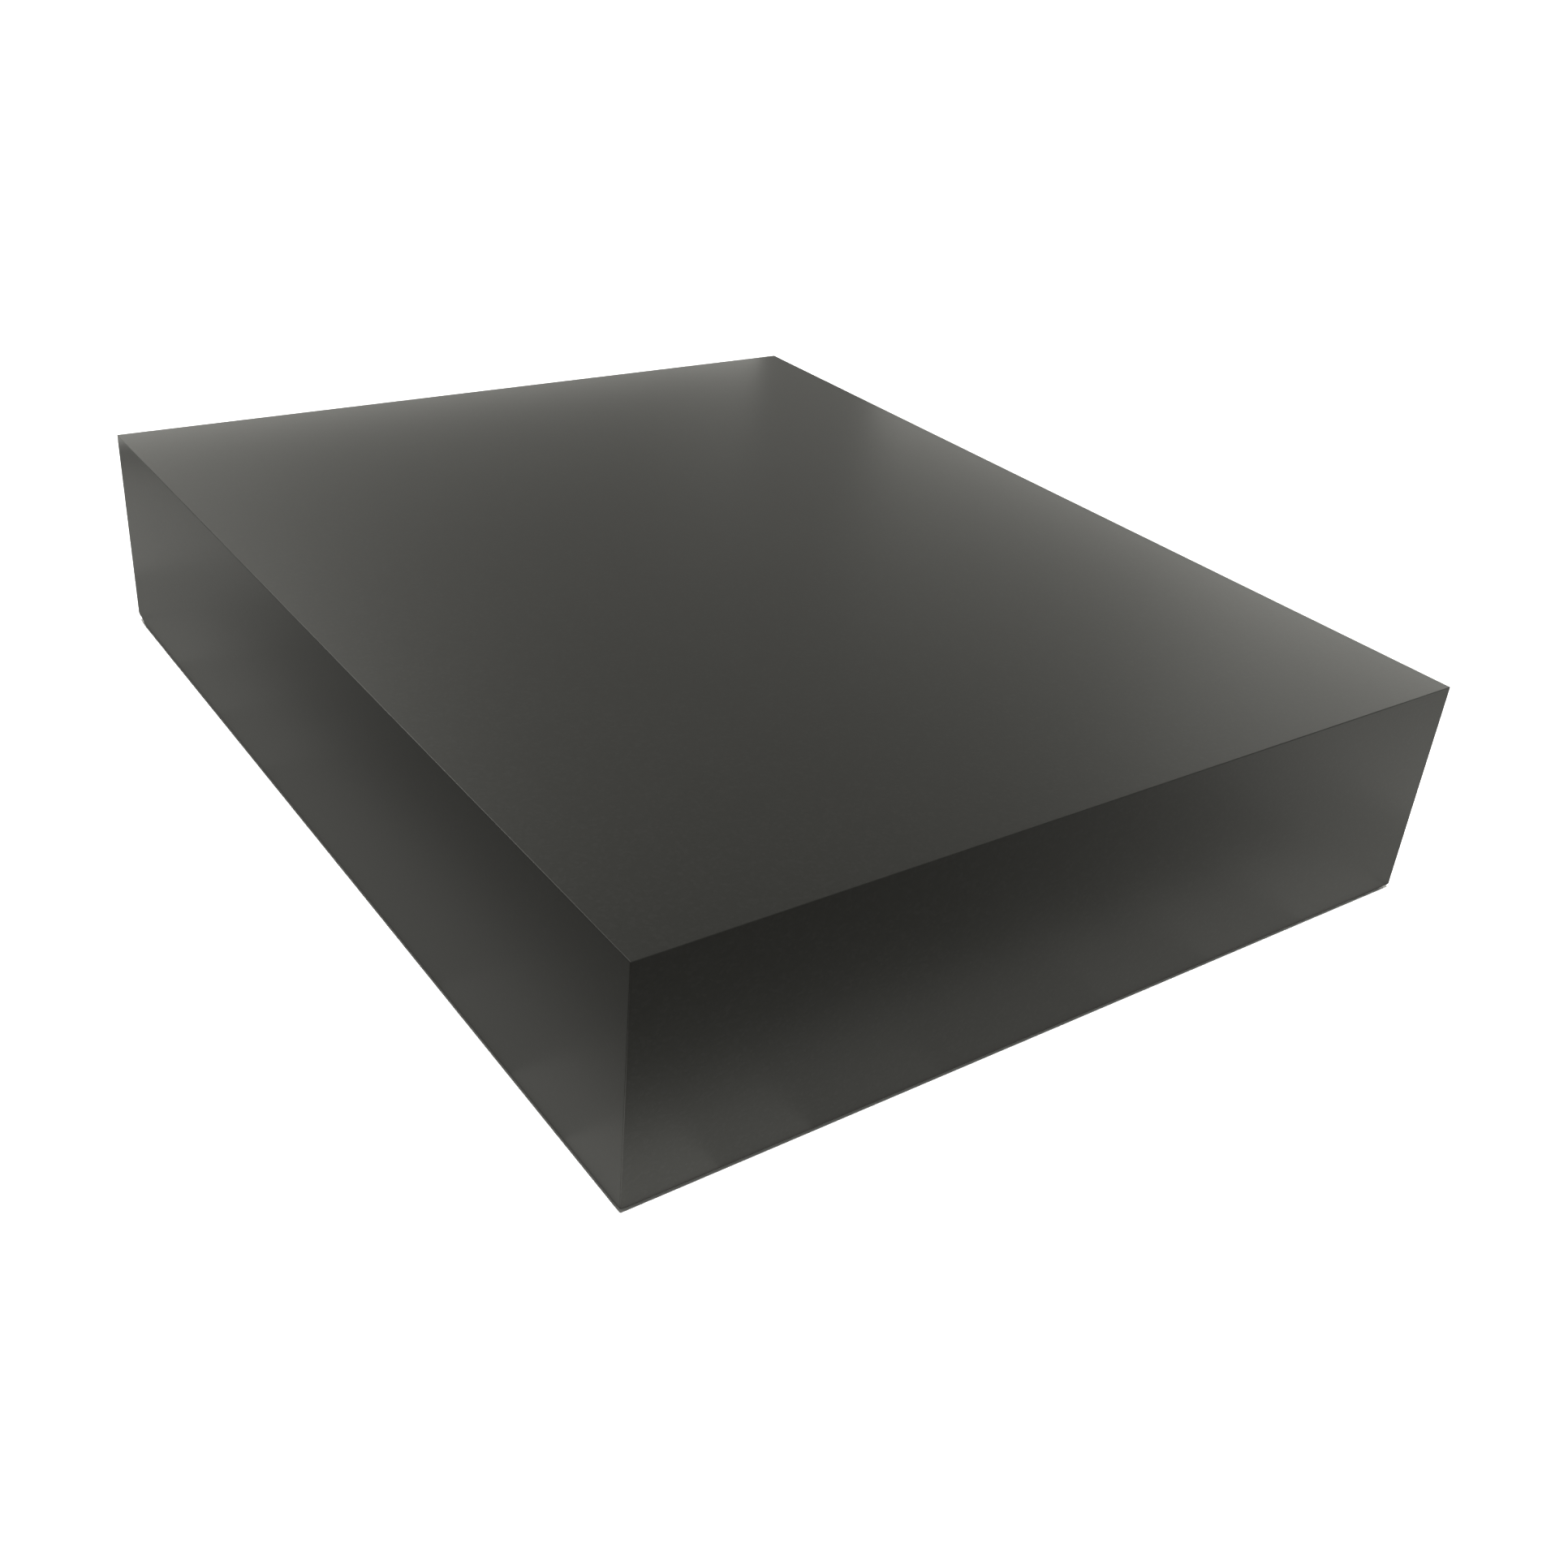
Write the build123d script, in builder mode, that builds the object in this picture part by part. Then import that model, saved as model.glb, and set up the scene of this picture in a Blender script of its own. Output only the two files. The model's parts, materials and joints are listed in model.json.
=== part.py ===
from build123d import *
import os

# A granite tooling slab for leather work: a thick block of honed stone that a
# leatherworker stamps and carves on. Four thin non-slip pads are stuck to its
# underside, so that it does not creep or scratch the bench.
#
# Lengths are in millimetres. X runs across the slab, Y along it and Z up. The
# origin is on the bench, under the middle of the slab.

# Driving dimensions
INCH = 25.4
SLAB_WIDTH = 8 * INCH
SLAB_LENGTH = 10 * INCH
SLAB_THICKNESS = 2 * INCH
PAD_DIAMETER = 22.0
PAD_THICKNESS = INCH / 32

# How far each arris is rubbed down. Every one is only just broken, so that it doesn't cut
# or chip, and the ones round the work face least of all.
WORK_FACE_EASING = 0.25
UPRIGHT_EASING = 0.5
UNDERSIDE_EASING = 0.5

# How far a pad's centre lies in from the two nearest sides, and how far the
# lower rim of a pad is rounded by the punch that cuts it.
PAD_SETBACK = 25.0
PAD_RIM_RADIUS = 0.2

PAD_X = SLAB_WIDTH / 2 - PAD_SETBACK
PAD_Y = SLAB_LENGTH / 2 - PAD_SETBACK
PAD_CENTRES = {
    "pad_front_left": (-PAD_X, -PAD_Y),
    "pad_front_right": (PAD_X, -PAD_Y),
    "pad_back_left": (-PAD_X, PAD_Y),
    "pad_back_right": (PAD_X, PAD_Y),
}

os.makedirs("parts", exist_ok=True)

# The block is sawn square on all six sides and stands on the pads.
with BuildPart() as granite_block:
    with BuildSketch(Plane.XY.offset(PAD_THICKNESS)):
        Rectangle(SLAB_WIDTH, SLAB_LENGTH)
    extrude(amount=SLAB_THICKNESS)
    fillet(granite_block.edges().filter_by(Axis.Z), radius=UPRIGHT_EASING)
    fillet(granite_block.faces().sort_by(Axis.Z)[0].edges(), radius=UNDERSIDE_EASING)
    fillet(granite_block.faces().sort_by(Axis.Z)[-1].edges(), radius=WORK_FACE_EASING)
granite_block.part.label = "granite_block"
export_step(granite_block.part, "parts/granite_block.step")

# Each pad is a disc punched from rubber sheet. Its top lies against the stone.
for pad_name, pad_centre in PAD_CENTRES.items():
    with BuildPart() as pad:
        with BuildSketch(Plane.XY):
            with Locations(pad_centre):
                Circle(PAD_DIAMETER / 2)
        extrude(amount=PAD_THICKNESS)
        fillet(pad.faces().sort_by(Axis.Z)[0].edges(), radius=PAD_RIM_RADIUS)
    pad.part.label = pad_name
    export_step(pad.part, f"parts/{pad_name}.step")
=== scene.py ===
# %% [markdown]
# # A granite slab for leather work
# A leatherworker stamps and carves leather on a thick block of honed stone. The block is heavy
# and dead flat, so that a blow goes into the leather and not into the bench. Four thin rubber
# pads under it stop it from creeping.
#
# This lesson dresses a plain CAD model of that slab. The CAD model holds every size and place,
# and Blender adds what a drawing leaves out: arrises rubbed down by hand, saw marks on the
# underside, crystals in the stone and the bloom on cut rubber. Everything is in metres.

import json
import math

import bpy
import numpy as np
from mathutils import Matrix, Vector


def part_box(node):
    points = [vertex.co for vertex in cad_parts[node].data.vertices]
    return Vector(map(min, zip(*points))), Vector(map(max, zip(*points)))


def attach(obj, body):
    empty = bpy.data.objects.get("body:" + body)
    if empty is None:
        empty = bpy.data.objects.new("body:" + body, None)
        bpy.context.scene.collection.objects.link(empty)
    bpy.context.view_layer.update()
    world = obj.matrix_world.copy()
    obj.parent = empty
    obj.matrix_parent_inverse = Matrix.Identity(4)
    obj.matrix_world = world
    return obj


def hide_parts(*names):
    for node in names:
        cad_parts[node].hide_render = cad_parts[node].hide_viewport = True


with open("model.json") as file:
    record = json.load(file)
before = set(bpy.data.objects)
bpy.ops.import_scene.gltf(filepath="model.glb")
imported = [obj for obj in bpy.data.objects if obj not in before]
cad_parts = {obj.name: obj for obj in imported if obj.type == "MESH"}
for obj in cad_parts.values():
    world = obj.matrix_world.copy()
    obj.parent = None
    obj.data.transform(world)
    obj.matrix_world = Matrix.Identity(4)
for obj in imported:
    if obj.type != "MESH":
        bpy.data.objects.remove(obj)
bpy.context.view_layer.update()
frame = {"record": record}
block_low, block_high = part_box("granite_block")
PAD_NODES = [part["node"] for part in frame["record"]["subparts"] if part["node"].startswith("pad_")]

MM = 0.001
half_width = block_high[0]
half_length = block_high[1]
thickness = block_high[2] - block_low[2]
print(f"block {2 * half_width / MM:.1f} x {2 * half_length / MM:.1f} x {thickness / MM:.1f} mm")
print("pads", ", ".join(PAD_NODES))

# %% [markdown]
# ## The camera
# A product picture of a slab is taken from above one corner, so that the work face and two
# sides show. The camera comes first, because every later choice is judged through it.
#
# A camera could be placed by typing in a position and three angles. Here it is placed as a
# person would do it: choose the point to look at, walk round to an azimuth, rise to an
# elevation, step back, and then tilt the camera a little about its own line of sight.

# %% Place the camera
AIM_ACROSS = -0.248
AIM_ALONG = -0.3714
VIEW_AZIMUTH = -37.85
VIEW_ELEVATION = 30.23
VIEW_DISTANCE = 0.3014
CAMERA_TILT = 5.36
LENS_MM = 38.61
NEAREST_SEEN = 0.01
FARTHEST_SEEN = 50.0


def direction(azimuth, elevation):
    """The unit vector toward that azimuth and elevation in degrees. Azimuth 0 is in front of the slab."""
    azimuth, elevation = math.radians(azimuth), math.radians(elevation)
    level = math.cos(elevation)
    return Vector((math.sin(azimuth) * level, -math.cos(azimuth) * level, math.sin(elevation)))


aim = Vector((AIM_ACROSS * 2 * half_width, AIM_ALONG * 2 * half_length, block_high[2]))
back = direction(VIEW_AZIMUTH, VIEW_ELEVATION)
camera = bpy.data.objects.new("camera", bpy.data.cameras.new("camera"))
camera.data.lens = LENS_MM
camera.data.clip_start = NEAREST_SEEN
camera.data.clip_end = FARTHEST_SEEN
camera.matrix_world = (
    Matrix.Translation(aim + back * VIEW_DISTANCE)
    @ (-back).to_track_quat("-Z", "Y").to_matrix().to_4x4()
    @ Matrix.Rotation(math.radians(CAMERA_TILT), 4, "Z")
)
bpy.context.scene.collection.objects.link(camera)
bpy.context.scene.camera = camera
print("camera at", [round(value / MM, 1) for value in camera.location], "mm")

# %% [markdown]
# ## The studio
# Dark honed stone shows very little colour of its own. What the eye reads as its shape is the
# pale room mirrored in it, more strongly where the surface is seen at a low angle. So the
# light is set as a photographer sets it for a black object: a dim room, soft boxes standing
# behind the object, and bright cards lying round its foot that draw a glow along the edges.
#
# One big lamp overhead would be simpler, but it would lift the whole face to one flat grey.
# The camera sees white paper all round, and the stone mirrors a dim room instead.
#
# Every box and card is an area light with a brightness as seen, where 1 is white. The power
# follows from the area, so that brightness stays the same when a size changes. The camera
# doesn't see the lights, but the stone still mirrors them.

# %% A helper for boxes and cards
WATTS_PER_AREA = 4.0
LAMP_COLOUR = (1.0, 0.995, 0.93)


def soft_panel(name, centre, shines, width, height, brightness):
    """An area light of that size in metres, whose face has that brightness (1 is white)."""
    light = bpy.data.lights.new(name, "AREA")
    light.shape = "RECTANGLE"
    light.size = width
    light.size_y = height
    light.color = LAMP_COLOUR
    light.energy = WATTS_PER_AREA * width * height * brightness
    panel = bpy.data.objects.new(name, light)
    panel.location = centre
    panel.rotation_mode = "QUATERNION"
    panel.rotation_quaternion = Vector(shines).to_track_quat("-Z", "Y")
    panel.visible_camera = False
    bpy.context.scene.collection.objects.link(panel)


# %% A dim room, and white paper for the camera
ROOM_ABOVE = 0.314
ROOM_BELOW = 0.147
HORIZON_BLUR = 0.12
PAPER = 1.0

world = bpy.data.worlds.new("studio_room")
world.use_nodes = True
bpy.context.scene.world = world
room = world.node_tree
room.nodes.clear()
sight_line = room.nodes.new("ShaderNodeTexCoord")
height_part = room.nodes.new("ShaderNodeSeparateXYZ")
room_fade = room.nodes.new("ShaderNodeMapRange")
room_fade.interpolation_type = "SMOOTHSTEP"
room_fade.inputs["From Min"].default_value = -HORIZON_BLUR
room_fade.inputs["From Max"].default_value = HORIZON_BLUR
room_fade.inputs["To Min"].default_value = ROOM_BELOW
room_fade.inputs["To Max"].default_value = ROOM_ABOVE
seen_by = room.nodes.new("ShaderNodeLightPath")
paper_or_room = room.nodes.new("ShaderNodeMix")
paper_or_room.inputs["B"].default_value = PAPER
backdrop = room.nodes.new("ShaderNodeBackground")
backdrop.inputs["Color"].default_value = (*LAMP_COLOUR, 1)
room_output = room.nodes.new("ShaderNodeOutputWorld")
room.links.new(sight_line.outputs["Generated"], height_part.inputs["Vector"])
room.links.new(height_part.outputs["Z"], room_fade.inputs["Value"])
room.links.new(seen_by.outputs["Is Camera Ray"], paper_or_room.inputs["Factor"])
room.links.new(room_fade.outputs["Result"], paper_or_room.inputs["A"])
room.links.new(paper_or_room.outputs["Result"], backdrop.inputs["Strength"])
room.links.new(backdrop.outputs["Background"], room_output.inputs["Surface"])
print("room brightness", ROOM_BELOW, "below the horizon and", ROOM_ABOVE, "above it")

# %% Soft boxes behind the slab
# The bright one stands high, behind and to the left. Two dim ones, one straight behind and one
# to the right, put a faint glow on the far part of the work face.
BOX_DISTANCE = 1.2
BOX_WIDTH = 0.5
BOX_HEIGHT = 0.33

# For each box: its name, azimuth, elevation and brightness.
SOFT_BOXES = (
    ("box_left_high", 185, 42, 5.36),
    ("box_behind_low", 135, 8, 0.43),
    ("box_right", 110, 24, 0.75),
)
for name, azimuth, elevation, brightness in SOFT_BOXES:
    toward_box = direction(azimuth, elevation)
    soft_panel(name, toward_box * BOX_DISTANCE, -toward_box, BOX_WIDTH, BOX_HEIGHT, brightness)

# %% Low panels that light the far rims
# Each stands upright behind one far side, its middle about level with the work face. For each:
# its name, which way it lies from the slab, its gap to the slab, its two sizes and brightness.
RIM_PANELS = (
    ("rim_back", 0, 1, 40 * MM, 250 * MM, 30 * MM, 1.4),
    ("rim_right", 1, 0, 80 * MM, 340 * MM, 50 * MM, 2.4),
)
for name, side_x, side_y, gap, width, height, brightness in RIM_PANELS:
    centre = (side_x * (half_width + gap), side_y * (half_length + gap), thickness)
    soft_panel(name, centre, (-side_x, -side_y, 0), width, height, brightness)

# %% [markdown]
# Each side that shows mirrors the floor beside it, so cards lie there. A strip runs the whole
# length of the side. Near the front corner and past the far corner the glow has to grow, and
# one bright card would show its own edge in the stone. So several dim sheets of different
# lengths lie over each other there, and the glow fades. Each sheet lies a hair above the one
# below it, because two lights at one level would hide each other.

# %% Cards on the floor beside the sides that show
CARD_LEVEL = 0.35 * MM
SHEET_STEP = 0.04 * MM
CARD_GAP = 0.5 * MM
STRIP_WIDTH = 25 * MM
NEAR_WIDTH = 15 * MM
FAR_WIDTH = 120 * MM
FAR_END = 120 * MM
UP = (0, 0, 1)

# For each near sheet: how far it reaches from the front corner, and its share of the near glow.
NEAR_SHEETS = ((20 * MM, 0.5), (40 * MM, 0.37), (70 * MM, 0.13))
# For each far sheet: where it begins, past the far corner or, with a minus, before it, and its
# share of the far glow.
FAR_SHEETS = ((-90 * MM, 0.06), (-60 * MM, 0.08), (-30 * MM, 0.12), (0, 0.44), (30 * MM, 0.3))
# For each side: its length, and how bright its strip, its near glow and its far glow are.
SIDE_CARDS = {
    "left": (2 * half_length, 0.164, 0.187, 0.371),
    "front": (2 * half_width, 0.268, 0.302, 0.549),
}


def side_card(name, side, begins, ends, width, brightness, sheets_below):
    """A card beside the left or the front side. It begins and ends that far from the front corner."""
    length = ends - begins
    along = (begins + ends) / 2
    out = CARD_GAP + width / 2
    level = CARD_LEVEL + sheets_below * SHEET_STEP
    if side == "left":
        soft_panel(name, (-half_width - out, along - half_length, level), UP, width, length, brightness)
    else:
        soft_panel(name, (along - half_width, -half_length - out, level), UP, length, width, brightness)


for side, (side_end, strip_brightness, near_glow, far_glow) in SIDE_CARDS.items():
    cards = [(0, side_end, STRIP_WIDTH, strip_brightness)]
    cards += [(0, reach, NEAR_WIDTH, glow_share * near_glow) for reach, glow_share in NEAR_SHEETS]
    for start, glow_share in FAR_SHEETS:
        cards.append((side_end + start, side_end + FAR_END, FAR_WIDTH, glow_share * far_glow))
    for number, card in enumerate(cards):
        side_card(f"card_{side}_{number}", side, *card, number)
    print(len(cards), "cards beside the", side, "side")

# %% A card off the front corner, and strips behind the slab
CORNER_CARD = 30 * MM
CORNER_BRIGHTNESS = 1.1
REAR_BRIGHTNESS = 0.25

corner_out = CARD_GAP + CORNER_CARD / 2
corner_centre = (-half_width - corner_out, -half_length - corner_out, CARD_LEVEL)
soft_panel("card_front_left", corner_centre, UP, CORNER_CARD, CORNER_CARD, CORNER_BRIGHTNESS)
rear_out = CARD_GAP + STRIP_WIDTH / 2
back_centre = (0, half_length + rear_out, CARD_LEVEL)
soft_panel("strip_back", back_centre, UP, 2 * half_width, STRIP_WIDTH, REAR_BRIGHTNESS)
right_centre = (half_width + rear_out, 0, CARD_LEVEL)
soft_panel("strip_right", right_centre, UP, STRIP_WIDTH, 2 * half_length, REAR_BRIGHTNESS)

# %% [markdown]
# ## The floor
# The floor is plain and pale. A wide, soft lamp high behind the camera lights it, and light
# linking keeps that lamp off the stone: this is how a picture gets a white ground and a dark,
# well-drawn object at the same time. The slab's shadow falls away from the camera, so the slab
# hides it. It still shades the floor right under itself, and the thin gap at its foot is dark.

# %% Lay the floor and light it
FLOOR_SIZE = 60.0
FLOOR_COLOUR = (0.86, 0.86, 0.86, 1.0)
FLOOR_LIGHT_STRENGTH = 5.0
FLOOR_LIGHT_SPREAD = 8
FLOOR_LIGHT_ELEVATION = 79

bpy.ops.mesh.primitive_plane_add(size=FLOOR_SIZE)
floor = bpy.context.object
floor.name = "studio_floor"
floor_paint = bpy.data.materials.new("studio_floor")
floor_paint.use_nodes = True
floor_shader = floor_paint.node_tree.nodes["Principled BSDF"]
floor_shader.inputs["Base Color"].default_value = FLOOR_COLOUR
floor_shader.inputs["Roughness"].default_value = 1.0
floor_shader.inputs["Specular IOR Level"].default_value = 0.0
floor.data.materials.append(floor_paint)
floor.visible_glossy = False
floor.visible_diffuse = False

lit_by_floor_lamp = bpy.data.collections.new("lit_by_floor_lamp")
lit_by_floor_lamp.objects.link(floor)
floor_lamp = bpy.data.objects.new("floor_lamp", bpy.data.lights.new("floor_lamp", "SUN"))
floor_lamp.data.energy = FLOOR_LIGHT_STRENGTH
floor_lamp.data.angle = math.radians(FLOOR_LIGHT_SPREAD)
floor_lamp.rotation_mode = "QUATERNION"
floor_lamp.rotation_quaternion = direction(VIEW_AZIMUTH, FLOOR_LIGHT_ELEVATION).to_track_quat("Z", "Y")
floor_lamp.light_linking.receiver_collection = lit_by_floor_lamp
bpy.context.scene.collection.objects.link(floor_lamp)
bpy.context.scene.view_settings.view_transform = "Standard"

# %% [markdown]
# ## Helpers for node trees
# Materials and Geometry Nodes are both trees of nodes. Building one in a script takes the same
# three steps for each node: make it, choose its settings, and fill or link its sockets. One
# helper does all three, so that a tree reads like a recipe.

# %% A helper that adds one node
def add(tree, kind, sockets=None, **settings):
    """A new node. A socket's value is a number, a colour or vector, or another node's output to link."""
    node = tree.nodes.new(kind)
    for name, value in settings.items():
        setattr(node, name, value)
    for name, value in (sockets or {}).items():
        if isinstance(value, bpy.types.NodeSocket):
            tree.links.new(value, node.inputs[name])
        else:
            node.inputs[name].default_value = value
    return node


def math_node(tree, operation, *values):
    """The result of one sum on those values or outputs."""
    return add(tree, "ShaderNodeMath", dict(enumerate(values)), operation=operation).outputs[0]


# %% [markdown]
# ## The stone
# Near-black granite is a crowd of interlocked crystals, each about half a millimetre across:
# black pyroxene, olive-grey and a little pale feldspar. Honing with fine grit leaves it smooth
# with a satin sheen, so the crystals barely show. Where hands and tools rub the arrises, the
# honing wears off in patches and the stone turns a shade paler and duller.
#
# An image of stone would repeat and blur. A Voronoi texture gives each crystal a cell of its
# own, noise bends the cell walls, and a colour ramp deals the minerals out. All of it reads
# Object coordinates, so it runs through the block as real grain does, round every corner.

# %% Mineral colours and sizes
CRYSTAL_SIZE = 0.6 * MM
CRYSTAL_BEND = 0.25 * MM
BLACK_PYROXENE = (0.0275, 0.0275, 0.0245, 1)
OLIVE_GREY = (0.029, 0.029, 0.0255, 1)
GREY_FELDSPAR = (0.031, 0.031, 0.028, 1)
PALE_FELDSPAR = (0.036, 0.036, 0.033, 1)

# Most of a noise texture's values lie between these two.
NOISE_LOW = 0.3
NOISE_HIGH = 0.7


def ramp(tree, position, stops):
    """A colour ramp through those (place, colour) stops."""
    node = add(tree, "ShaderNodeValToRGB", {"Fac": position})
    elements = node.color_ramp.elements
    while len(elements) < len(stops):
        elements.new(0.5)
    for element, (place, colour) in zip(elements, stops):
        element.position = place
        element.color = colour
    return node.outputs["Color"]


def range_node(tree, value, low, high, to_low, to_high):
    """The value, moved from one range to another and held inside it."""
    sockets = {"Value": value, "From Min": low, "From Max": high, "To Min": to_low, "To Max": to_high}
    return add(tree, "ShaderNodeMapRange", sockets).outputs["Result"]


def stone_crystals(tree):
    """The place in the stone, a chance number for the crystal there, and how far its wall is."""
    place = add(tree, "ShaderNodeTexCoord").outputs["Object"]
    bend = add(tree, "ShaderNodeTexNoise", {"Vector": place, "Scale": 1 / CRYSTAL_SIZE, "Detail": 2.0})
    centred = add(
        tree, "ShaderNodeVectorMath", {0: bend.outputs["Color"], 1: (0.5, 0.5, 0.5)}, operation="SUBTRACT"
    )
    shift = add(
        tree, "ShaderNodeVectorMath", {0: centred.outputs[0], "Scale": CRYSTAL_BEND}, operation="SCALE"
    )
    bent = add(tree, "ShaderNodeVectorMath", {0: place, 1: shift.outputs[0]}, operation="ADD").outputs[0]
    cells = add(tree, "ShaderNodeTexVoronoi", {"Vector": bent, "Scale": 1 / CRYSTAL_SIZE})
    mineral = add(tree, "ShaderNodeSeparateColor", {"Color": cells.outputs["Color"]}).outputs["Red"]
    walls = add(
        tree, "ShaderNodeTexVoronoi", {"Vector": bent, "Scale": 1 / CRYSTAL_SIZE}, feature="DISTANCE_TO_EDGE"
    ).outputs["Distance"]
    return place, mineral, walls


# %% Honed granite
CLOUD_SIZE = 45 * MM
CLOUD_CONTRAST = 0.04
WORN_STONE = (0.038, 0.038, 0.035, 1)
WEAR_PATCH = 4 * MM
WEAR_DULLS = 0.1
HONED_ROUGHNESS = 0.36
CRYSTAL_POLISH = 0.01
CRYSTAL_RELIEF = 0.002 * MM
STONE_IOR = 1.52


def honed_granite():
    """The ground and honed faces: satin, near-black, with crystals that barely show."""
    material = bpy.data.materials.new("honed_stone")
    material.use_nodes = True
    tree = material.node_tree
    shader = tree.nodes["Principled BSDF"]
    shader.inputs["IOR"].default_value = STONE_IOR
    place, mineral, walls = stone_crystals(tree)
    colour = ramp(tree, mineral, (
        (0.0, BLACK_PYROXENE),
        (0.3, OLIVE_GREY),
        (0.75, GREY_FELDSPAR),
        (1.0, PALE_FELDSPAR),
    ))
    cloud = add(tree, "ShaderNodeTexNoise", {"Vector": place, "Scale": 1 / CLOUD_SIZE, "Detail": 4.0})
    dimmest, brightest = 1 - CLOUD_CONTRAST, 1 + CLOUD_CONTRAST
    tone = range_node(tree, cloud.outputs["Fac"], NOISE_LOW, NOISE_HIGH, dimmest, brightest)
    clouded = add(tree, "ShaderNodeVectorMath", {0: colour, "Scale": tone}, operation="SCALE").outputs[0]
    worn = add(tree, "ShaderNodeAttribute", attribute_name="worn_arris").outputs["Fac"]
    patches = add(tree, "ShaderNodeTexNoise", {"Vector": place, "Scale": 1 / WEAR_PATCH, "Detail": 3.0})
    wear = math_node(tree, "MULTIPLY", worn, patches.outputs["Fac"])
    base = add(
        tree, "ShaderNodeMix", {"Factor": wear, "A": clouded, "B": WORN_STONE}, data_type="RGBA"
    )
    tree.links.new(base.outputs["Result"], shader.inputs["Base Color"])
    smoothest, roughest = HONED_ROUGHNESS - CRYSTAL_POLISH, HONED_ROUGHNESS + CRYSTAL_POLISH
    polish = range_node(tree, mineral, 0.0, 1.0, smoothest, roughest)
    dulled = math_node(tree, "MULTIPLY_ADD", wear, WEAR_DULLS, polish)
    tree.links.new(dulled, shader.inputs["Roughness"])
    relief = add(tree, "ShaderNodeBump", {"Height": walls, "Distance": CRYSTAL_RELIEF})
    tree.links.new(relief.outputs["Normal"], shader.inputs["Normal"])
    return material


# %% [markdown]
# ## The sawn face
# The underside is never seen in use, so it stays as the stone saw left it: paler and matt, with
# broken crystals. The saw is a big disc, so all its scores are arcs of circles round one axle,
# far out past the back left corner. The scores are uneven, like the grit on the blade.
#
# A noise that runs along one number only, the distance from the axle, gives arcs of uneven
# depth and spacing. The same distance shapes the broader ridges further down.

# %% Sawn granite
BLADE_RADIUS = 0.6
AXLE_ACROSS = -0.9
AXLE_ALONG = 0.4
SCORE_SPACING = 0.9 * MM
SCORE_DEPTH = 0.05 * MM
SCORE_DARKEST = 0.75
SCORE_PALEST = 1.15
SAWN_RELIEF = 0.03 * MM
SAWN_ROUGHNESS = 0.78
SAWN_BLACK = (0.05, 0.05, 0.046, 1)
SAWN_GREY = (0.085, 0.085, 0.079, 1)
SAWN_PALE = (0.17, 0.17, 0.158, 1)


def seen_from_above(tree, place):
    """That place without its height."""
    return add(tree, "ShaderNodeVectorMath", {0: place, 1: (1, 1, 0)}, operation="MULTIPLY").outputs[0]


def axle_distance(tree, on_plane, blade_radius):
    """How far that place, seen from above, lies from the axle of a blade of that radius."""
    axle_x = math_node(tree, "MULTIPLY", blade_radius, AXLE_ACROSS)
    axle_y = math_node(tree, "MULTIPLY", blade_radius, AXLE_ALONG)
    axle = add(tree, "ShaderNodeCombineXYZ", {"X": axle_x, "Y": axle_y}).outputs["Vector"]
    return add(tree, "ShaderNodeVectorMath", {0: on_plane, 1: axle}, operation="DISTANCE").outputs["Value"]


def sawn_granite():
    """The underside as the saw left it: paler and matt, scored along the blade's path."""
    material = bpy.data.materials.new("sawn_stone")
    material.use_nodes = True
    tree = material.node_tree
    shader = tree.nodes["Principled BSDF"]
    shader.inputs["IOR"].default_value = STONE_IOR
    place, mineral, walls = stone_crystals(tree)
    distance = axle_distance(tree, seen_from_above(tree, place), BLADE_RADIUS)
    turns = math_node(tree, "DIVIDE", distance, SCORE_SPACING)
    scores = add(
        tree, "ShaderNodeTexNoise", {"W": turns, "Scale": 1.0, "Detail": 3.0}, noise_dimensions="1D"
    ).outputs["Fac"]
    colour = ramp(tree, mineral, ((0.0, SAWN_BLACK), (0.5, SAWN_GREY), (1.0, SAWN_PALE)))
    tone = range_node(tree, scores, NOISE_LOW, NOISE_HIGH, SCORE_DARKEST, SCORE_PALEST)
    scored = add(tree, "ShaderNodeVectorMath", {0: colour, "Scale": tone}, operation="SCALE")
    tree.links.new(scored.outputs[0], shader.inputs["Base Color"])
    shader.inputs["Roughness"].default_value = SAWN_ROUGHNESS
    broken = add(tree, "ShaderNodeBump", {"Height": walls, "Distance": SAWN_RELIEF})
    scoring = add(
        tree,
        "ShaderNodeBump",
        {"Height": scores, "Distance": SCORE_DEPTH, "Normal": broken.outputs["Normal"]},
    )
    tree.links.new(scoring.outputs["Normal"], shader.inputs["Normal"])
    return material


# %% [markdown]
# ## The rubber
# The pads are punched out of thin sheet rubber. New rubber is deep black; handling and bench
# dust leave a grey bloom in its fine pebbled surface.

# %% Pad rubber
DUST_PATCH = 6 * MM
CLEAN_RUBBER = (0.012, 0.012, 0.012, 1)
DUSTY_RUBBER = (0.05, 0.048, 0.045, 1)
RUBBER_ROUGHNESS = 0.85
PEBBLE_SIZE = 0.6 * MM
PEBBLE_DEPTH = 0.03 * MM


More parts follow.
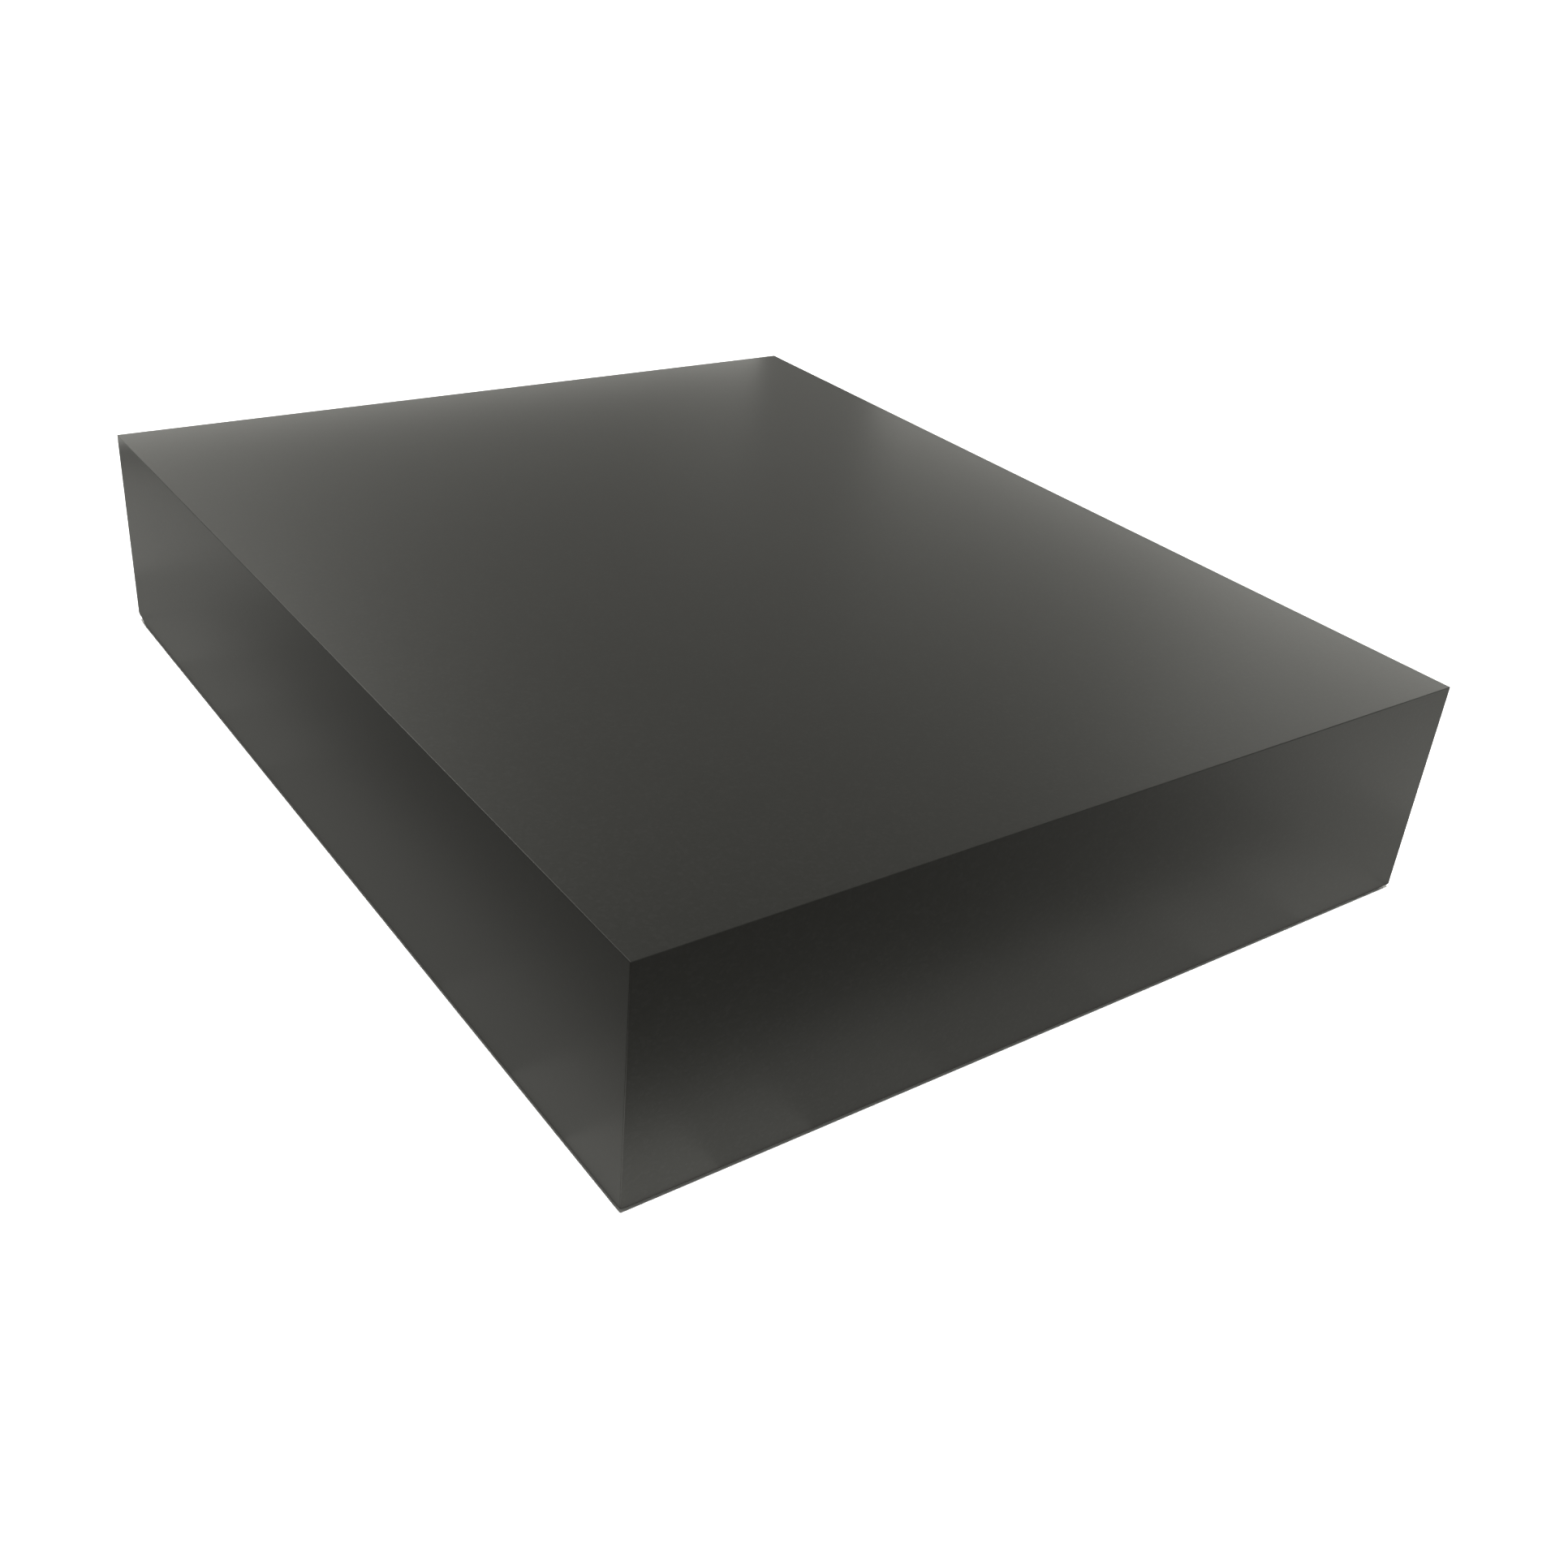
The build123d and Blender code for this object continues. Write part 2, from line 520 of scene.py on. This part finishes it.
def pad_rubber():
    """Matt black sheet rubber with a fine pebble and a little dust."""
    material = bpy.data.materials.new("sheet_rubber")
    material.use_nodes = True
    tree = material.node_tree
    shader = tree.nodes["Principled BSDF"]
    place = add(tree, "ShaderNodeTexCoord").outputs["Object"]
    dust = add(tree, "ShaderNodeTexNoise", {"Vector": place, "Scale": 1 / DUST_PATCH, "Detail": 5.0})
    colour = ramp(tree, dust.outputs["Fac"], ((0.35, CLEAN_RUBBER), (0.75, DUSTY_RUBBER)))
    tree.links.new(colour, shader.inputs["Base Color"])
    shader.inputs["Roughness"].default_value = RUBBER_ROUGHNESS
    pebble = add(
        tree, "ShaderNodeTexVoronoi", {"Vector": place, "Scale": 1 / PEBBLE_SIZE}, feature="SMOOTH_F1"
    )
    bump = add(tree, "ShaderNodeBump", {"Height": pebble.outputs["Distance"], "Distance": PEBBLE_DEPTH})
    tree.links.new(bump.outputs["Normal"], shader.inputs["Normal"])
    return material


HONED = honed_granite()
SAWN = sawn_granite()
RUBBER = pad_rubber()
print("materials", HONED.name, SAWN.name, RUBBER.name)

# %% [markdown]
# ## The shape of the block
# A sawn block has six flat faces and twelve knife-sharp arrises. The mason rubs every arris
# down: barely at all round the work face, where leather lies, and a little more at the foot,
# where hands lift the slab. A rubbing block in the hand also takes the lower corners rounder
# than the arrises between them, and never twice the same.
#
# A cube with a Bevel modifier would give one radius everywhere. Here the block is a stack of
# outlines, as a mason would describe it: each level of the side has an outline with four round
# corners, and the easing pulls the outline in at the foot and at the top. The two flat faces
# are grids stretched across the lowest and the highest outline.

# %% How each arris is rubbed down
UPRIGHT_RADIUS = 0.25 * MM
FACE_EASING = 0.15 * MM
FOOT_EASING_IN = 0.3 * MM
FOOT_EASING_UP = 0.3 * MM
EASING_WAVER = 0.15

# A foot corner's extra roundness reaches up and along by so many of its radii, and the easing
# under it tucks in by this share of its radius.
CORNER_RISE = 1.2
CORNER_REACH = 3
CORNER_TUCK = 0.85

# The mesh: the size of its cells, how much they crowd toward the corners and the foot, and the
# steps in an upright arris, in an easing and up a side.
GRID_STEP = 1.45 * MM
CROWDING = 0.6
RISE_CROWDING = 1.5
ARC_STEPS = 8
EASING_STEPS = 6
SIDE_STEPS = 28

# Each corner, going round from the front left: its two signs, where its arc begins in degrees,
# and how round its foot is.
CORNERS = (
    (-1, -1, 180, 0.5 * MM),
    (1, -1, 270, 0.3 * MM),
    (1, 1, 0, 0.8 * MM),
    (-1, 1, 90, 1.6 * MM),
)
corner_signs = np.array([corner[:2] for corner in CORNERS], dtype=float)
corner_starts = np.radians([corner[2] for corner in CORNERS])
foot_radii = np.array([corner[3] for corner in CORNERS])


def fade(share):
    """1 at a share of 0, falling smoothly to 0 at a share of 1."""
    share = np.clip(share, 0, 1)
    return (1 - share) ** 2 * (1 + 2 * share)


# %% [markdown]
# The outline is cut into columns. A column stands on the arc of a corner or part of the way
# along the straight side that follows that corner. The foot of each corner is rounder than the
# arris above it, so a corner's radius shrinks from the foot upwards.

# %% Columns round the block
cells_across = round(2 * half_width / GRID_STEP) + ARC_STEPS
cells_along = round(2 * half_length / GRID_STEP) + ARC_STEPS
columns = []
for index, start in enumerate(corner_starts):
    for step in range(ARC_STEPS + 1):
        columns.append((index, 0.0, start + math.pi / 2 * step / ARC_STEPS))
    side_steps = (cells_across, cells_along)[index % 2] - ARC_STEPS
    for step in range(1, side_steps):
        share_along = step / side_steps
        share_along -= CROWDING * math.sin(2 * math.pi * share_along) / (2 * math.pi)
        columns.append((index, share_along, start + math.pi / 2))
columns = np.roll(np.array(columns), -(ARC_STEPS // 2), axis=0)

before = columns[:, 0].astype(int)
after = (before + 1) % len(CORNERS)
share = columns[:, 1]
outward = np.stack([np.cos(columns[:, 2]), np.sin(columns[:, 2])], axis=1)
side_length = np.where(before % 2 == 0, 2 * half_width, 2 * half_length)
lap = 4 * (half_width + half_length)
walked = lap * np.arange(len(columns)) / len(columns)


def near_corners(values, reach):
    """For each column, how much of its two corners' values it feels, fading along the side."""
    from_before = fade(share * side_length / reach[before])
    from_after = np.where(share > 0, fade((1 - share) * side_length / reach[after]), 0)
    return values[before] * from_before + values[after] * from_after


def outline(height, inset):
    """The outline's points where each column has that height above the foot and that inset."""
    def radius_and_centre(corner):
        foot_share = fade(height / (CORNER_RISE * foot_radii[corner]))
        radius = UPRIGHT_RADIUS + (foot_radii[corner] - UPRIGHT_RADIUS) * foot_share
        centre = corner_signs[corner] * (np.array([[half_width, half_length]]) - radius[:, None])
        return radius, centre

    radius, centre = radius_and_centre(before)
    next_radius, next_centre = radius_and_centre(after)
    middle = centre + (next_centre - centre) * share[:, None]
    reach = radius + (next_radius - radius) * share - inset
    flat = middle + reach[:, None] * outward
    return np.column_stack([flat, block_low[2] + height])


# %% The levels of the side, from the foot to the work face
def hand_waver(distance, seed):
    """A slow, uneven wave from -1 to 1, as a hand makes along an arris. It closes round the block."""
    random = np.random.default_rng(seed)
    wave_counts = (5, 11, 19, 37, 71)
    wave = np.zeros_like(distance)
    for count in wave_counts:
        wave += np.sin(2 * math.pi * count * distance / lap + random.uniform(0, 2 * math.pi))
    return wave / len(wave_counts)


foot_waver = 1 + EASING_WAVER * hand_waver(walked, seed=3)
face_waver = 1 + EASING_WAVER * hand_waver(walked, seed=8)
corner_reach = CORNER_REACH * foot_radii
foot_up = FOOT_EASING_UP * foot_waver + near_corners(foot_radii - FOOT_EASING_UP, corner_reach)
foot_in = FOOT_EASING_IN * foot_waver + near_corners(CORNER_TUCK * foot_radii - FOOT_EASING_IN, corner_reach)
face_ease = FACE_EASING * face_waver

levels = []
wear_of_level = []
for turn in np.linspace(0, math.pi / 2, EASING_STEPS + 1):
    levels.append(outline(foot_up * (1 - math.cos(turn)), foot_in * (1 - math.sin(turn))))
    wear_of_level.append(math.sin(2 * turn))
for rise in np.linspace(0, 1, SIDE_STEPS + 1)[1:-1] ** RISE_CROWDING:
    levels.append(outline(foot_up + (thickness - face_ease - foot_up) * rise, np.zeros(len(columns))))
    wear_of_level.append(0.0)
for turn in np.linspace(0, math.pi / 2, EASING_STEPS + 1):
    levels.append(outline(thickness - face_ease * (1 - math.sin(turn)), face_ease * (1 - math.cos(turn))))
    wear_of_level.append(math.sin(2 * turn))
print("columns", len(columns), "levels", len(levels))


# %% [markdown]
# The underside and the work face are each a grid stretched across a closed outline. Every point
# inside is blended from the four sides of the grid, which is called a Coons patch.

# %% Stretch a grid across an outline
def stretch_grid(loop):
    """Points of a grid, (cells_across + 1) by (cells_along + 1), whose border is that closed loop."""
    turns = np.cumsum([0, cells_across, cells_along, cells_across, cells_along])
    closed = np.vstack([loop, loop[:1]])
    front = closed[turns[0]:turns[1] + 1][:, None]
    right = closed[turns[1]:turns[2] + 1][None]
    back_side = closed[turns[2]:turns[3] + 1][::-1][:, None]
    left = closed[turns[3]:turns[4] + 1][::-1][None]
    across = np.linspace(0, 1, cells_across + 1)[:, None, None]
    along = np.linspace(0, 1, cells_along + 1)[None, :, None]
    sides = (1 - along) * front + along * back_side + (1 - across) * left + across * right
    corners = (
        (1 - across) * ((1 - along) * front[0] + along * back_side[0])
        + across * ((1 - along) * front[-1] + along * back_side[-1])
    )
    return sides - corners


def border_numbers(first):
    """The grid of vertex numbers whose border is the loop that starts at number first, and -1 inside."""
    numbers = np.full((cells_across + 1, cells_along + 1), -1)
    loop = first + np.arange(len(columns))
    numbers[:-1, 0] = loop[:cells_across]
    numbers[-1, :-1] = loop[cells_across:cells_across + cells_along]
    numbers[1:, -1] = loop[cells_across + cells_along:2 * cells_across + cells_along][::-1]
    numbers[0, 1:] = loop[2 * cells_across + cells_along:][::-1]
    return numbers


# %% Join the levels and the two flat faces into one mesh
def block_mesh():
    """A closed mesh of the block. Vertices carry how worn they are, and underside faces are marked."""
    points = [np.vstack(levels)]
    wear = [np.repeat(wear_of_level, len(columns))]
    faces = []
    count = len(columns)
    ring = np.arange(count)
    ring_next = np.roll(ring, -1)
    for level in range(len(levels) - 1):
        low, high = level * count, (level + 1) * count
        faces.append(np.stack([low + ring, low + ring_next, high + ring_next, high + ring], axis=1))
    side_faces = (len(levels) - 1) * count
    for level in (0, len(levels) - 1):
        grid = stretch_grid(levels[level])
        numbers = border_numbers(level * count)
        first = sum(len(group) for group in points)
        numbers[1:-1, 1:-1] = first + np.arange((cells_across - 1) * (cells_along - 1)).reshape(
            cells_across - 1, cells_along - 1
        )
        points.append(grid[1:-1, 1:-1].reshape(-1, 3))
        wear.append(np.zeros(len(points[-1])))
        quads = [numbers[:-1, :-1], numbers[1:, :-1], numbers[1:, 1:], numbers[:-1, 1:]]
        if level == 0:
            quads.reverse()  # the underside faces down
        faces.append(np.stack(quads, axis=-1).reshape(-1, 4))
    mesh = bpy.data.meshes.new("eased_block")
    mesh.from_pydata(np.vstack(points).tolist(), [], np.vstack(faces).tolist())
    mesh.polygons.foreach_set("use_smooth", [True] * len(mesh.polygons))
    mesh.attributes.new("worn_arris", "FLOAT", "POINT").data.foreach_set("value", np.concatenate(wear))
    underside = np.zeros(len(mesh.polygons), dtype=bool)
    underside[side_faces:side_faces + cells_across * cells_along] = True
    mesh.attributes.new("underside", "BOOLEAN", "FACE").data.foreach_set("value", underside)
    ridged = np.zeros(len(mesh.vertices), dtype=np.float32)
    ridged[len(points[0]):len(points[0]) + len(points[1])] = 1
    mesh.attributes.new("ridged", "FLOAT", "POINT").data.foreach_set("value", ridged)
    return mesh


# %% [markdown]
# ## Saw ridges
# Between its fine scores the saw leaves broad, shallow ridges, where the block moved on a step.
# They are arcs round the same axle, and one can feel them with a fingernail.
#
# They follow a rule, so Geometry Nodes make them: the distance from the blade's axle, divided by
# the spacing of the ridges, gives a sine wave, and each point of the underside is lifted by it.

# %% A helper for Geometry Nodes trees
def geometry_tree(name, inputs):
    """A tree with those named inputs and a Geometry output, and its input and output nodes."""
    tree = bpy.data.node_groups.new(name, "GeometryNodeTree")
    tree.is_modifier = True
    tree.interface.new_socket("Geometry", in_out="OUTPUT", socket_type="NodeSocketGeometry")
    for label, kind in inputs.items():
        tree.interface.new_socket(label, in_out="INPUT", socket_type=kind)
    return tree, add(tree, "NodeGroupInput").outputs, add(tree, "NodeGroupOutput")


def made_by_nodes(name, start, tree, values):
    """A plain mesh object: what the tree makes of the start mesh with those values for its inputs."""
    maker = bpy.data.objects.new(name + "_maker", start)
    bpy.context.scene.collection.objects.link(maker)
    modifier = maker.modifiers.new("nodes", "NODES")
    modifier.node_group = tree
    for item in tree.interface.items_tree:
        if item.in_out == "INPUT" and item.name in values:
            modifier[item.identifier] = values[item.name]
    graph = bpy.context.evaluated_depsgraph_get()
    mesh = bpy.data.meshes.new_from_object(maker.evaluated_get(graph), depsgraph=graph)
    bpy.data.objects.remove(maker)
    piece = bpy.data.objects.new(name, mesh)
    bpy.context.scene.collection.objects.link(piece)
    print(name + ":", len(mesh.vertices), "vertices,", len(mesh.polygons), "faces")
    return piece


# %% Saw the underside
RIDGE_SPACING = 9 * MM
RIDGE_DEPTH = 0.12 * MM
RIDGE_WAVER = 3 * MM
RIDGE_WAVER_SIZE = 60 * MM


def saw_marks_tree():
    """Lifts the underside in ridges along arcs of the blade's circle, and gives each face its stone."""
    tree, given, result = geometry_tree("saw_marks", {
        "Geometry": "NodeSocketGeometry",
        "Blade Radius": "NodeSocketFloat",
        "Ridge Spacing": "NodeSocketFloat",
        "Ridge Depth": "NodeSocketFloat",
        "Waver": "NodeSocketFloat",
        "Honed Stone": "NodeSocketMaterial",
        "Sawn Stone": "NodeSocketMaterial",
    })
    place = add(tree, "GeometryNodeInputPosition").outputs["Position"]
    on_plane = seen_from_above(tree, place)
    distance = axle_distance(tree, on_plane, given["Blade Radius"])
    unevenness = add(tree, "ShaderNodeTexNoise", {"Vector": on_plane, "Scale": 1 / RIDGE_WAVER_SIZE})
    shift = math_node(tree, "MULTIPLY", unevenness.outputs["Fac"], given["Waver"])
    wavered = math_node(tree, "ADD", distance, shift)
    turns = math_node(tree, "DIVIDE", wavered, given["Ridge Spacing"])
    wave = math_node(tree, "SINE", math_node(tree, "MULTIPLY", turns, 2 * math.pi))
    share_up = math_node(tree, "MULTIPLY_ADD", wave, 0.5, 0.5)
    depth = math_node(tree, "MULTIPLY", given["Ridge Depth"], unevenness.outputs["Fac"])
    ridged = add(
        tree, "GeometryNodeInputNamedAttribute", {"Name": "ridged"}, data_type="FLOAT"
    ).outputs["Attribute"]
    lift = math_node(tree, "MULTIPLY", math_node(tree, "MULTIPLY", share_up, depth), ridged)
    offset = add(tree, "ShaderNodeCombineXYZ", {"Z": lift}).outputs["Vector"]
    lifted = add(tree, "GeometryNodeSetPosition", {"Geometry": given["Geometry"], "Offset": offset})
    real = add(tree, "GeometryNodeRealizeInstances", {"Geometry": lifted.outputs["Geometry"]})
    honed = add(tree, "GeometryNodeSetMaterial", {
        "Geometry": real.outputs["Geometry"],
        "Material": given["Honed Stone"],
    })
    underside = add(
        tree, "GeometryNodeInputNamedAttribute", {"Name": "underside"}, data_type="BOOLEAN"
    ).outputs["Attribute"]
    both = add(tree, "GeometryNodeSetMaterial", {
        "Geometry": honed.outputs["Geometry"],
        "Selection": underside,
        "Material": given["Sawn Stone"],
    })
    tree.links.new(both.outputs["Geometry"], result.inputs["Geometry"])
    return tree


block = made_by_nodes("granite_block_stone", block_mesh(), saw_marks_tree(), {
    "Blade Radius": BLADE_RADIUS,
    "Ridge Spacing": RIDGE_SPACING,
    "Ridge Depth": RIDGE_DEPTH,
    "Waver": RIDGE_WAVER,
    "Honed Stone": HONED,
    "Sawn Stone": SAWN,
})

# %% [markdown]
# Smooth shading alone would let the narrow easing drag the flat faces' shading round with it.
# Weighted normals give the large faces the say, so flats look flat and arrises look round.

# %% Keep the flats flat
weighting = block.modifiers.new("weighted_normals", "WEIGHTED_NORMAL")
weighting.weight = 100
weighting.keep_sharp = False

# %% [markdown]
# ## The pads
# Each pad is a disc that a punch cut from rubber sheet and that a hand stuck on. The punch
# leaves the cut side a little hollow and the lower rim a little round.
#
# One pad is turned like a pot, from a profile spun round its own axis. Geometry Nodes then
# stand a copy on each point of a two-by-two grid, each turned by its own chance angle.

# %% Turn one pad
PAD_SIDES = 96
PAD_HOLLOW = 0.06 * MM
PAD_RIM = 0.2 * MM
RIM_STEPS = 5
SIDE_RINGS = 6
FLAT_RINGS = (0.3, 0.6, 0.85)
LAST_TOP_RING = 0.97

pad_low, pad_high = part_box(PAD_NODES[0])
pad_radius = (pad_high[0] - pad_low[0]) / 2
pad_thickness = pad_high[2] - pad_low[2]


def pad_profile():
    """(radius, height) pairs from near the middle of the top, over the cut side, to under the middle."""
    profile = [(pad_radius * share_out, pad_thickness) for share_out in (*FLAT_RINGS, LAST_TOP_RING)]
    for step in np.linspace(1, 0, SIDE_RINGS + 1):
        hollow = PAD_HOLLOW * math.sin(math.pi * step)
        profile.append((pad_radius - hollow, PAD_RIM + (pad_thickness - PAD_RIM) * step))
    for turn in np.linspace(0, math.pi / 2, RIM_STEPS + 1)[1:]:
        profile.append((pad_radius - PAD_RIM * (1 - math.cos(turn)), PAD_RIM * (1 - math.sin(turn))))
    profile += [(pad_radius * share_out, 0.0) for share_out in reversed(FLAT_RINGS)]
    return profile


def turned_pad():
    """A closed mesh of one pad, standing on the origin."""
    profile = pad_profile()
    points = [(0, 0, pad_thickness)]
    for radius, height in profile:
        for side in range(PAD_SIDES):
            angle = 2 * math.pi * side / PAD_SIDES
            points.append((radius * math.cos(angle), radius * math.sin(angle), height))
    points.append((0, 0, 0))
    faces = []
    last_ring = 1 + (len(profile) - 1) * PAD_SIDES
    for side in range(PAD_SIDES):
        following = (side + 1) % PAD_SIDES
        faces.append((0, 1 + side, 1 + following))
        faces.append((len(points) - 1, last_ring + following, last_ring + side))
        for ring in range(len(profile) - 1):
            upper = 1 + ring * PAD_SIDES
            lower = upper + PAD_SIDES
            faces.append((upper + side, lower + side, lower + following, upper + following))
    mesh = bpy.data.meshes.new("turned_pad")
    mesh.from_pydata(points, [], faces)
    mesh.polygons.foreach_set("use_smooth", [True] * len(mesh.polygons))
    return mesh


# %% Stand a pad at each corner
TURN_SEED = 4


def pad_places_tree():
    """A copy of the pad on each point of a two-by-two grid, each turned by chance."""
    tree, given, result = geometry_tree("pad_places", {
        "Geometry": "NodeSocketGeometry",
        "Spacing Across": "NodeSocketFloat",
        "Spacing Along": "NodeSocketFloat",
        "Turn Seed": "NodeSocketInt",
        "Rubber": "NodeSocketMaterial",
    })
    grid = add(tree, "GeometryNodeMeshGrid", {
        "Size X": given["Spacing Across"],
        "Size Y": given["Spacing Along"],
        "Vertices X": 2,
        "Vertices Y": 2,
    })
    chance = add(
        tree,
        "FunctionNodeRandomValue",
        {"Max": (0, 0, 2 * math.pi), "Seed": given["Turn Seed"]},
        data_type="FLOAT_VECTOR",
    )
    copies = add(tree, "GeometryNodeInstanceOnPoints", {
        "Points": grid.outputs["Mesh"],
        "Instance": given["Geometry"],
        "Rotation": chance.outputs[0],
    })
    real = add(tree, "GeometryNodeRealizeInstances", {"Geometry": copies.outputs["Instances"]})
    coated = add(tree, "GeometryNodeSetMaterial", {
        "Geometry": real.outputs["Geometry"],
        "Material": given["Rubber"],
    })
    tree.links.new(coated.outputs["Geometry"], result.inputs["Geometry"])
    return tree


pad_boxes = [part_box(name) for name in PAD_NODES]
pad_lows = np.array([low for low, high in pad_boxes])
pad_span = pad_lows.max(axis=0) - pad_lows.min(axis=0)
pads = made_by_nodes("non_slip_pads", turned_pad(), pad_places_tree(), {
    "Spacing Across": float(pad_span[0]),
    "Spacing Along": float(pad_span[1]),
    "Turn Seed": TURN_SEED,
    "Rubber": RUBBER,
})

# %% [markdown]
# ## Hand the pieces over
# Each piece rides on the slab's one body, and the CAD nodes that it replaces are hidden.

# %% Attach the pieces to the frame
for piece, nodes, finish in (
    (block, ["granite_block"], "honed_granite"),
    (pads, PAD_NODES, "pad_rubber"),
):
    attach(piece, "root")
    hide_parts(*nodes)
